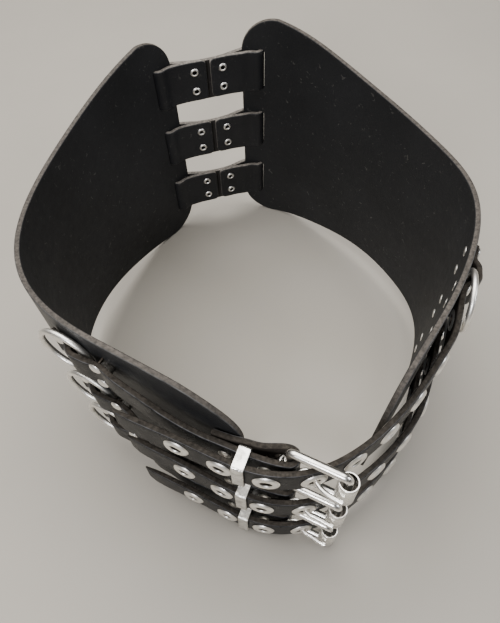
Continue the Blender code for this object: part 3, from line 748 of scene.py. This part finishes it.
def makeBillet(row):
    first, tip = row["first"], row["tip"]
    table = []
    for distance in np.linspace(first, tip, 2 + int((tip - first) / strap["bendEvery"])):
        bulge = row["bulge"] * max(0.0, 1 - (distance - first) / strap["bulgeReach"]) ** 2
        table.append((distance, halfLeather - bulge))
    curve = smoothCurve(wallSpots("right", rowLevel(row), strap["rightEnd"]) + strapSpots(row, table))
    length = curve[0][-1]

    def lowAt(u):
        return strap["tipSlant"] * max(0.0, 1 - (length - u) / strap["tipCut"]) ** strap["tipCurve"]

    def halfAt(u):
        share = min(max((length - u) / strap["tipTaper"], 0), 1)
        share = share * (2 - share)
        return (strap["tipThickness"] + (belt["leather"] - strap["tipThickness"]) * share) / 2

    place = bentPlace(curve, wallLean("right", length, True))
    holes = []
    for k in range(strap["eyeletCount"]):
        at = nearestOn(curve, strapPoint(row, row["eyelet"] - k * strap["eyeletSpacing"], halfLeather))
        holes.append((at, 0.0, strap["eyeletHole"] / 2, strap["eyeletHole"] / 2))
        seatFastener("eyelet", place, at, 0.0, halfLeather)
    blank = strapBlank(length, strap["width"], lowAt)
    piece = cutLeather("billet" + row["name"].capitalize(), "strapLeather", blank, holes, place,
                       strap["round"], strap["across"], halfAt)
    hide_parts("billet_" + row["name"])
    setRivets("right", row, place, curve)

def makeBuckleStrap(row):
    level, heel = rowLevel(row), np.array(buckle["heel"])
    height = strapHeight(row, buckle["at"])
    leave = unit(np.subtract(*(strapPoint(row, distance, 0) for distance in buckle["foldLine"])))
    out = np.array([leave[1], -leave[0]])
    if out[1] > 0:
        out = -out
    points = strapSpots(row, strap["innerLayer"])
    for angle in halfTurn:
        p = heel - leave * buckle["fold"] * cos(angle) + out * buckle["fold"] * sin(angle)
        points.append((*p, height))
    points += strapSpots(row, strap["outerLayer"]) + [(x, y, level - drop) for x, y, drop in strap["free"]]
    curve = smoothCurve(points + wallSpots("left", level, strap["leftEnd"][::-1]))
    length = curve[0][-1]
    reach = pi * buckle["fold"] / 2 + buckle["slotReach"]
    place = bentPlace(curve, wallLean("left", length, False))
    holes = [(nearestOn(curve, heel - leave * buckle["fold"]), 0.0, reach, buckle["slotHalf"])]
    blank = strapBlank(length, strap["width"])
    piece = cutLeather("buckleStrap" + row["name"].capitalize(), "strapLeather", blank, holes, place,
                       strap["round"], strap["across"])
    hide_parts("buckle_strap_" + row["name"])
    setRivets("left", row, place, curve)
    # One rivet on each side of the keeper holds the folded end
    for distance in strap["foldRivets"]:
        for kind, layer in (("rivet", "outerLayer"), ("burr", "innerLayer")):
            depth = np.interp(distance, *zip(*sorted(strap[layer])))
            seatFastener(kind, place, nearestOn(curve, strapPoint(row, distance, depth)), 0.0, halfLeather)
        setShank(fasteners["burr"][-1][0], fasteners["rivet"][-1][0])

# A tab goes from its folded end inside the right panel through the slot, across, and to the same on the left
def tabCourse(height):
    rightEdge, leftEdge = (beside(walls[side], 0, halfLeather, height) for side in ("right", "left"))
    across = unit(rightEdge - leftEdge)
    outward = np.array([-across[1], across[0]])
    centre = (rightEdge + leftEdge) / 2
    fold = (tab["outside"] - tab["inside"]) / 2
    foldAt = panel["slotAt"] - fold + tab["foldShift"]
    wallInside = [tab["leaveInside"], (foldAt - tab["straightInside"], tab["inside"])]
    wallInside += [(foldAt + fold * cos(a), tab["foldMiddle"] + fold * sin(a)) for a in halfTurn]
    wallOutside = [(foldAt - tab["straightOutside"], tab["outside"]), tab["leaveOutside"]]
    under = tab["dip"] + (belt["leather"] + tab["layerGap"])
    bridge, bridgeOut = tab["bridge"]
    halves = []
    for wall, side in ((walls["right"], 1), (walls["left"], -1)):
        inside = [centre + across * side * reach - outward * (under - lift)
                  for reach, lift in [(tab["endGap"] / 2, 0.0)] + tab["foldedEnd"]]
        inside += [beside(wall, distance, out, height) for distance, out in wallInside]
        outside = [beside(wall, distance, out, height) for distance, out in wallOutside]
        outside.append(centre + across * side * bridge + outward * (bridgeOut - tab["dip"]))
        halves.append([(*p, height) for p in inside])
        halves[-1] += [(*p, height - tab["sag"] * share) for p, share in zip(outside, tab["sagShares"])]
    middle = centre - outward * tab["dip"]
    return halves[0] + [(*middle, height - tab["sag"])] + halves[1][::-1]

def tabLean(along, plan):
    right, rightOut = alongCourse(walls["right"], tab["leanAt"])
    left, leftOut = alongCourse(walls["left"], tab["leanAt"])
    gap = right - left
    share = np.clip(((plan - left) @ gap) / float(gap @ gap), 0, 1)[:, None]
    return (rightOut * share + leftOut * (1 - share)) * belt["lean"]

def makeTab(name, number):
    curve = smoothCurve(tabCourse(belt["midHeight"] + number * tab["period"]))
    length = curve[0][-1]
    place = bentPlace(curve, tabLean)
    start = tab["eyeletReach"] - tab["endGap"] / 2
    holes = []
    for at in (start, length - start):
        for rise in (-tab["eyeletRise"], tab["eyeletRise"]):
            holes.append((at, rise, tab["eyeletHole"] / 2, tab["eyeletHole"] / 2))
            seatFastener("tabEyelet", place, at, rise, -halfLeather, -1)
    blank = strapBlank(length, tab["width"], corner=tab["endCorner"])
    piece = cutLeather("tab" + name.capitalize(), "tabLeather", blank, holes, place, strap["round"],
                       tab["across"], sides=24, grainSide=-1)
    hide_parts("tab_" + name)

for rowData in rows:
    makeBillet(rowData)
    makeBuckleStrap(rowData)
for tabName, tabNumber in tab["numbers"].items():
    makeTab(tabName, tabNumber)
print("straps and tabs made")

# Geometry Nodes helpers
def newTree(name, inputs):
    tree = bpy.data.node_groups.new(name, "GeometryNodeTree")
    tree.interface.new_socket(name="Geometry", in_out="INPUT", socket_type="NodeSocketGeometry")
    for label, kind, value in inputs:
        socket = tree.interface.new_socket(name=label, in_out="INPUT", socket_type="NodeSocket" + kind)
        if value is not None:
            socket.default_value = value
    tree.interface.new_socket(name="Geometry", in_out="OUTPUT", socket_type="NodeSocketGeometry")
    return tree, addNode(tree, "NodeGroupInput")

def plug(tree, *links):
    for source, output, target, socket in links:
        tree.links.new(source.outputs[output], target.inputs[socket])

def endTree(tree, groupIn, made):
    real = addNode(tree, "GeometryNodeRealizeInstances")
    finish = addNode(tree, "GeometryNodeSetMaterial")
    plug(tree, (made, 0, real, 0), (real, 0, finish, "Geometry"), (groupIn, "Finish", finish, "Material"),
         (finish, 0, addNode(tree, "NodeGroupOutput"), 0))

def grown(source, tree, values):
    modifier = source.modifiers.new("Nodes", "NODES")
    modifier.node_group = tree
    for item in tree.interface.items_tree:
        if item.in_out == "INPUT" and item.name in values:
            modifier[item.identifier] = values[item.name]
    source.update_tag()
    mesh = evaluatedMesh(source)
    discard(source)
    return mesh

# Round wire along the edges of a mesh, thicker or thinner by its "thick" attribute
wireTree, wireIn = newTree("roundWire", [
    ("Radius", "Float", 0.002), ("Sides", "Int", 16), ("Finish", "Material", None)])
toCurve = addNode(wireTree, "GeometryNodeMeshToCurve")
thickness = addNode(wireTree, "GeometryNodeInputNamedAttribute", {"Name": "thick"}, data_type="FLOAT")
setRadius = addNode(wireTree, "GeometryNodeSetCurveRadius")
section = addNode(wireTree, "GeometryNodeCurvePrimitiveCircle")
toMesh = addNode(wireTree, "GeometryNodeCurveToMesh", {"Fill Caps": True})
plug(wireTree,
     (wireIn, "Geometry", toCurve, 0), (toCurve, 0, setRadius, "Curve"), (thickness, 0, setRadius, "Radius"),
     (setRadius, 0, toMesh, "Curve"), (wireIn, "Sides", section, "Resolution"),
     (wireIn, "Radius", section, "Radius"), (section, 0, toMesh, "Profile Curve"))
endTree(wireTree, wireIn, toMesh)

def roundWire(name, points, radius, sides, closed, finish, thick=None):
    count = len(points)
    edges = [(k, k + 1) for k in range(count - 1)] + ([(count - 1, 0)] if closed else [])
    mesh = rawMesh(name + "Path", toWorld(points), edges)
    setAttribute(mesh, "thick", np.ones(count) if thick is None else thick)
    path = addObject(name + "Path", mesh)
    made = grown(path, wireTree, {"Radius": radius * mm, "Sides": sides, "Finish": finishes[finish]})
    return finishPiece(name, made, finish, 60)

# Rings, each held by its wire under a strap end
ringSizes = {
    "radius": 15,
    "wire": 1.6,
    "sides": 16,
    "points": 72,
    # held at, out from the panel, opened by degrees, drop
    "right": [(231.2, 1.9, 10, -0.6), (231.2, 1.9, 9, 0.4), (231.2, 1.9, 8.5, 0.8)],
    "left": [(239.4, 2, 4, 1.2), (240.2, 2, 3.8, 1), (240.4, 2, 3.4, 1)],
}

def makeRing(side, row, held, out, opened, drop):
    wall, radius, level = walls[side], ringSizes["radius"], rowLevel(row)
    at = beside(wall, held, belt["leather"] + out, level)
    ahead = unit(beside(wall, held + 0.5, 0) - beside(wall, held - 0.5, 0))
    away = beside(wall, held, 1) - beside(wall, held, 0)
    turn = radians(opened)
    forward = ahead * (1 if side == "right" else -1) * cos(turn) + away * sin(turn)
    points = []
    for angle in fullTurn(ringSizes["points"]):
        plan = at + forward * radius * (1 - cos(angle))
        points.append((*plan, level - drop + radius * sin(angle)))
    title = side.capitalize() + row["name"].capitalize()
    piece = roundWire("ring" + title, points, ringSizes["wire"], ringSizes["sides"], True, "softNickel")
    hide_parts(f"ring_{side}_{row['name']}")

# Roller buckles
def makeBuckle(row):
    title = row["name"].capitalize()
    heel = np.array([*buckle["heel"], strapHeight(row, buckle["at"]) + buckle["rise"]])
    turn = radians(buckle["turn"])
    along = np.array([cos(turn), sin(turn), 0])
    outward = np.array([sin(turn), -cos(turn), 0])
    up = np.array([0, 0, 1.0])

    def place(a, o, z):
        return heel + along * a + outward * o + up * z

    # Frame: stouter in its two side bars
    corner, length = buckle["corner"], buckle["length"]
    outline, stout = [], []
    for a, z, angle, share in cornerTurns(0, length, buckle["half"], corner):
        outline.append(place(a + corner * cos(angle), 0, z + corner * sin(angle)))
        stout.append(1.0 + buckle["stouter"] * share)
    frameWire = roundWire("buckleFrame" + title, outline, buckle["wire"], buckle["wireSides"], True,
                          "brightNickel", stout)
    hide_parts("buckle_frame_" + row["name"])

    # Roller: rolled sheet with soft lips, turned about the front bar, with painted shade inside
    outer, inner, reach = buckle["rollerOuter"], buckle["rollerInner"], buckle["rollerHalf"]
    lip = [(inner, 1.4), (inner, 0.15), (inner + 0.15, 0.0), (outer - 0.3, 0.0), (outer - 0.08, 0.1)]
    lip.append((outer, 0.35))
    profile = [(radius, back - reach) for radius, back in lip]
    profile += [(radius, reach - back) for radius, back in lip[::-1]]
    around = fullTurn(buckle["rollerSides"])
    points = [place(length + radius * cos(angle), radius * sin(angle), z)
              for radius, z in profile for angle in around]
    mesh = rawMesh("roller" + title, toWorld(points), faces=hoopFaces(len(profile), len(around)))
    # Painted shade: the inner wall, short of its ends, is marked dark as shade inside the tube
    dark = [float(abs(z) < reach - buckle["darkFrom"] and radius == inner) for radius, z in profile]
    setAttribute(mesh, "paintedShade", np.repeat(dark, len(around)))
    roller = finishPiece("roller" + title, mesh, "brightNickel", 50)
    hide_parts("roller_" + row["name"])

    # Prong: an eye round the heel bar, then through the eyelet to the roller
    eye = buckle["wire"] + buckle["gap"] + buckle["prongWire"] + buckle["eyeSlack"]
    first, swept = buckle["eyeTurn"]
    points = []
    for k in range(25):
        angle = radians(first + swept * k / 24)
        points.append(place(eye * cos(angle), eye * sin(angle), 0))
    hole = strapPoint(row, row["eyelet"] - buckle["prongEyelet"] * strap["eyeletSpacing"], 0) - buckle["heel"]
    holeAlong, holeOut = float(hole @ along[:2]), float(hole @ outward[:2])
    course = [(0.0, eye), buckle["prongStart"]]
    course += [(holeAlong + a, holeOut + o) for a, o in buckle["prongThrough"]]
    (riseAlong, riseOut), *end = buckle["prongEnd"]
    course += [(riseAlong, max(riseOut, holeOut + buckle["prongRise"])), *end]
    dense = smoothCurve([(a, o, 0.0) for a, o in course], buckle["prongStep"])[1]
    points += [place(p[0], p[1], 0) for p in dense[1:]]
    count, (taper, thinner) = len(points), buckle["prongTaper"]
    thick = [1.0 - thinner * max(0.0, (k - count + taper) / taper) for k in range(count)]
    thick[-3:] = buckle["prongTip"]
    prong = roundWire("prong" + title, points, buckle["prongWire"], buckle["prongSides"], False,
                      "brightNickel", thick)
    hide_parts("prong_" + row["name"])

# Keepers: a flat band bent round both straps
keeper = {
    "at": 238.5,
    "depth": 9.3,
    "width": 5.8,
    "band": 0.9,
    "slackThrough": 0.55,
    "slackUp": 0.7,
    "corner": 1.15,
    "lip": 0.18,
    "crown": 0.02,
}

def makeKeeper(row):
    height = strapHeight(row, keeper["at"])
    outer, inner = (strapPoint(row, keeper["at"], depth) for depth in (0, keeper["depth"]))
    across = unit(outer - inner)
    ahead = np.array([-across[1], across[0]])
    centre = (outer + inner) / 2
    edge, band, lip = keeper["width"] / 2, keeper["band"] / 2, keeper["lip"]
    halfDepth = norm(outer - inner) / 2 + keeper["slackThrough"] + band
    halfWidth = strap["width"] / 2 + keeper["slackUp"] + band
    side = [(lip - edge, -band), (-edge, lip - band), (-edge, band - lip), (lip - edge, band),
            (-edge * 0.5, band + keeper["crown"])]
    profile = side + [(-shift, size) for shift, size in side[::-1]]
    points = []
    for a, z, angle, _ in cornerTurns(-halfDepth, halfDepth, halfWidth, keeper["corner"]):
        for shift, size in profile:
            radius = keeper["corner"] + size
            plan = centre + across * (a + radius * cos(angle)) + ahead * shift
            points.append((*plan, height + z + radius * sin(angle)))
    title = "keeper" + row["name"].capitalize()
    mesh = rawMesh(title, toWorld(points), faces=hoopFaces(len(points) // len(profile), len(profile)))
    piece = finishPiece(title, mesh, "satinNickel", 40)
    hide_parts("keeper_" + row["name"])

for index, rowData in enumerate(rows):
    makeRing("right", rowData, *ringSizes["right"][index])
    makeRing("left", rowData, *ringSizes["left"][index])
    makeBuckle(rowData)
    makeKeeper(rowData)
print("rings, buckles and keepers made")

# Fasteners: one turned shape each, set out along the straps by Geometry Nodes
turnedShapes = {
    # radius and height above the leather, round a closed section
    "eyelet": [
        (3, -3.3), (3, 0.3), (3.12, 0.75), (3.5, 1.15), (4.1, 1.36), (4.75, 1.32), (5.35, 1.12),
        (5.9, 0.78), (6.25, 0.38), (6.42, 0.08), (6.38, 0), (3.2, 0), (3.2, -3.05), (5.4, -3.05),
        (5.55, -3.2), (5.3, -3.5), (4.4, -3.75), (3.35, -3.7),
    ],
    "tabEyelet": [
        (1.35, -3.2), (1.35, 0.2), (1.45, 0.5), (1.75, 0.74), (2.15, 0.72), (2.55, 0.48), (2.85, 0.1),
        (2.82, 0), (1.42, 0), (1.42, -3.05), (2.3, -3.05), (2.4, -3.15), (2.2, -3.4), (1.6, -3.45),
    ],
    "rivet": [
        (0, -0.2), (3.1, -0.2), (3.25, 0.05), (3.1, 0.35), (2.6, 0.72), (1.7, 1.02), (0.8, 1.12),
        (0, 1.15),
    ],
    "shank": [(0, 0), (0.85, 0), (0.85, 1), (0, 1)],
    "burr": [(0, 0.3), (2.6, 0.3), (2.75, 0.05), (2.6, -0.3), (1.9, -0.62), (1, -0.74), (0, -0.76)],
}
# radius and height below which the metal is painted dark as shade: eyelet barrels, and the whole rivet shank
# in its shadowed gap
paintedShadeBelow = {"eyelet": (3.05, 0.4), "tabEyelet": (1.4, 0.4), "shank": (9.0, 9.0)}

fastenerTree, fastIn = newTree("fastenerRow", [
    ("Shape", "Object", None), ("Seed", "Int", 4), ("Finish", "Material", None)])
shapeInfo = addNode(fastenerTree, "GeometryNodeObjectInfo", {"As Instance": True})
facingName, stretchName = (
    addNode(fastenerTree, "GeometryNodeInputNamedAttribute", {"Name": label}, data_type="FLOAT_VECTOR")
    for label in ("facing", "stretch"))
align = addNode(fastenerTree, "FunctionNodeAlignRotationToVector", axis="Z")
spin = addNode(fastenerTree, "FunctionNodeRandomValue", {3: 6.283}, data_type="FLOAT")
spinAxis = addNode(fastenerTree, "FunctionNodeAxisAngleToRotation", {"Axis": (0, 0, 1)})
spun = addNode(fastenerTree, "FunctionNodeRotateRotation", rotation_space="LOCAL")
onPoints = addNode(fastenerTree, "GeometryNodeInstanceOnPoints")
plug(fastenerTree,
     (fastIn, "Geometry", onPoints, "Points"), (fastIn, "Shape", shapeInfo, "Object"),
     (fastIn, "Seed", spin, "Seed"), (shapeInfo, "Geometry", onPoints, "Instance"),
     (facingName, 0, align, "Vector"), (align, 0, spun, "Rotation"), (spin, 1, spinAxis, "Angle"),
     (spinAxis, 0, spun, "Rotate By"), (spun, 0, onPoints, "Rotation"), (stretchName, 0, onPoints, "Scale"))
endTree(fastenerTree, fastIn, onPoints)

def turnedMesh(name, kind, sides=40):
    shape = turnedShapes[kind]
    built = bmesh.new()
    rounds = []
    for radius, height in shape:
        angles = fullTurn(sides) if radius else [0.0]
        rounds.append([built.verts.new((radius * mm * cos(angle), radius * mm * sin(angle), height * mm))
                       for angle in angles])
    if shape[0][0]:
        rounds.append(rounds[0])
    for low, high in zip(rounds, rounds[1:]):
        for k in range(sides):
            n = (k + 1) % sides
            corners = [low[k % len(low)], low[n % len(low)], high[n % len(high)], high[k % len(high)]]
            built.faces.new(list(dict.fromkeys(corners)))
    bmesh.ops.recalc_face_normals(built, faces=built.faces)
    mesh = bpy.data.meshes.new(name)
    built.to_mesh(mesh)
    built.free()
    # Painted shade: marks the vertices inside the radius and below the height
    reach, top = paintedShadeBelow.get(kind, (0.0, 0.0))
    places = [vertex.co for vertex in mesh.vertices]
    setAttribute(mesh, "paintedShade", [float(hypot(p.x, p.y) < reach * mm and p.z < top * mm) for p in places])
    return mesh

def setFasteners(name, kind, finish, seed):
    seats, facings, stretches = zip(*fasteners[kind])
    mesh = rawMesh(name + "Seats", seats)
    setAttribute(mesh, "facing", facings)
    setAttribute(mesh, "stretch", [(1, 1, stretch) for stretch in stretches])
    points = addObject(name + "Seats", mesh)
    shape = addObject(name + "Shape", turnedMesh(name + "Shape", kind))
    made = grown(points, fastenerTree, {"Shape": shape, "Seed": seed, "Finish": finishes[finish]})
    discard(shape)
    return finishPiece(name, made, finish, 40)

for setSeed, (pieceName, shapeName) in enumerate((
    ("strapEyelets", "eyelet"), ("tabEyelets", "tabEyelet"), ("strapRivets", "rivet"), ("rivetBurrs", "burr"),
    ("rivetShanks", "shank"),
), 4):
    setFasteners(pieceName, shapeName, "softNickel", setSeed)
print("eyelets and rivets set")

# Floor, light and camera
studio = {
    "floor": (0.385, 0.360, 0.320),
    "floorReach": 3,
    "lamps": {
        "above": {"at": (-0.2, 0.3, 1.25), "aim": (0, 0, 0.05),
                  "size": 1.6, "power": 36, "colour": (1, 0.975, 0.93)},
        "right": {"at": (1, -0.3, 0.7), "aim": (0, 0, 0.05),
                  "size": 0.5, "power": 4, "colour": (0.95, 0.97, 1)},
        "front": {"at": (-0.30, -0.95, 0.80), "aim": (0, -0.1, 0.06),
                  "size": 0.3, "power": 8, "colour": (0.98, 0.98, 1)},
    },
    "ambient": (0.62, 0.61, 0.60),
    "ambientStrength": 0.14,
    "camera": {"at": (0.00062, -0.2206, 0.35698), "turn": (0.6102, 0.0287, -0.0282), "lens": 33.2205},
}

def makeStudio():
    reach = studio["floorReach"]
    mesh = rawMesh("floor", [(-reach, -reach, 0), (reach, -reach, 0), (reach, reach, 0), (-reach, reach, 0)],
                   faces=[(0, 1, 2, 3)])
    made, tree, shader, where = nodeMaterial("floorPaper")
    mottle = noise(tree, where, 9.0, 4.0, 0.5)
    colour = mixColour(tree, mottle, scaled(studio["floor"], 0.94), scaled(studio["floor"], 1.05))
    tree.links.new(colour, shader.inputs["Base Color"])
    shader.inputs["Roughness"].default_value = 0.85
    mesh.materials.append(made)
    floor = addObject("floor", mesh)
    for name, look in studio["lamps"].items():
        light = bpy.data.lights.new(name, "AREA")
        light.shape = "DISK"
        light.size = look["size"]
        light.energy = look["power"]
        light.color = look["colour"]
        lamp = addObject(name, light)
        lamp.location = look["at"]
        lamp.rotation_euler = (Vector(look["aim"]) - Vector(look["at"])).to_track_quat("-Z", "Y").to_euler()
    world = bpy.data.worlds.new("softRoom")
    world.use_nodes = True
    background = world.node_tree.nodes["Background"]
    background.inputs["Color"].default_value = (*studio["ambient"], 1.0)
    background.inputs["Strength"].default_value = studio["ambientStrength"]
    bpy.context.scene.world = world
    lens = bpy.data.cameras.new("camera")
    lens.lens = studio["camera"]["lens"]
    lens.sensor_width = 36.0
    camera = addObject("camera", lens)
    camera.location = studio["camera"]["at"]
    camera.rotation_euler = studio["camera"]["turn"]
    bpy.context.scene.camera = camera

makeStudio()
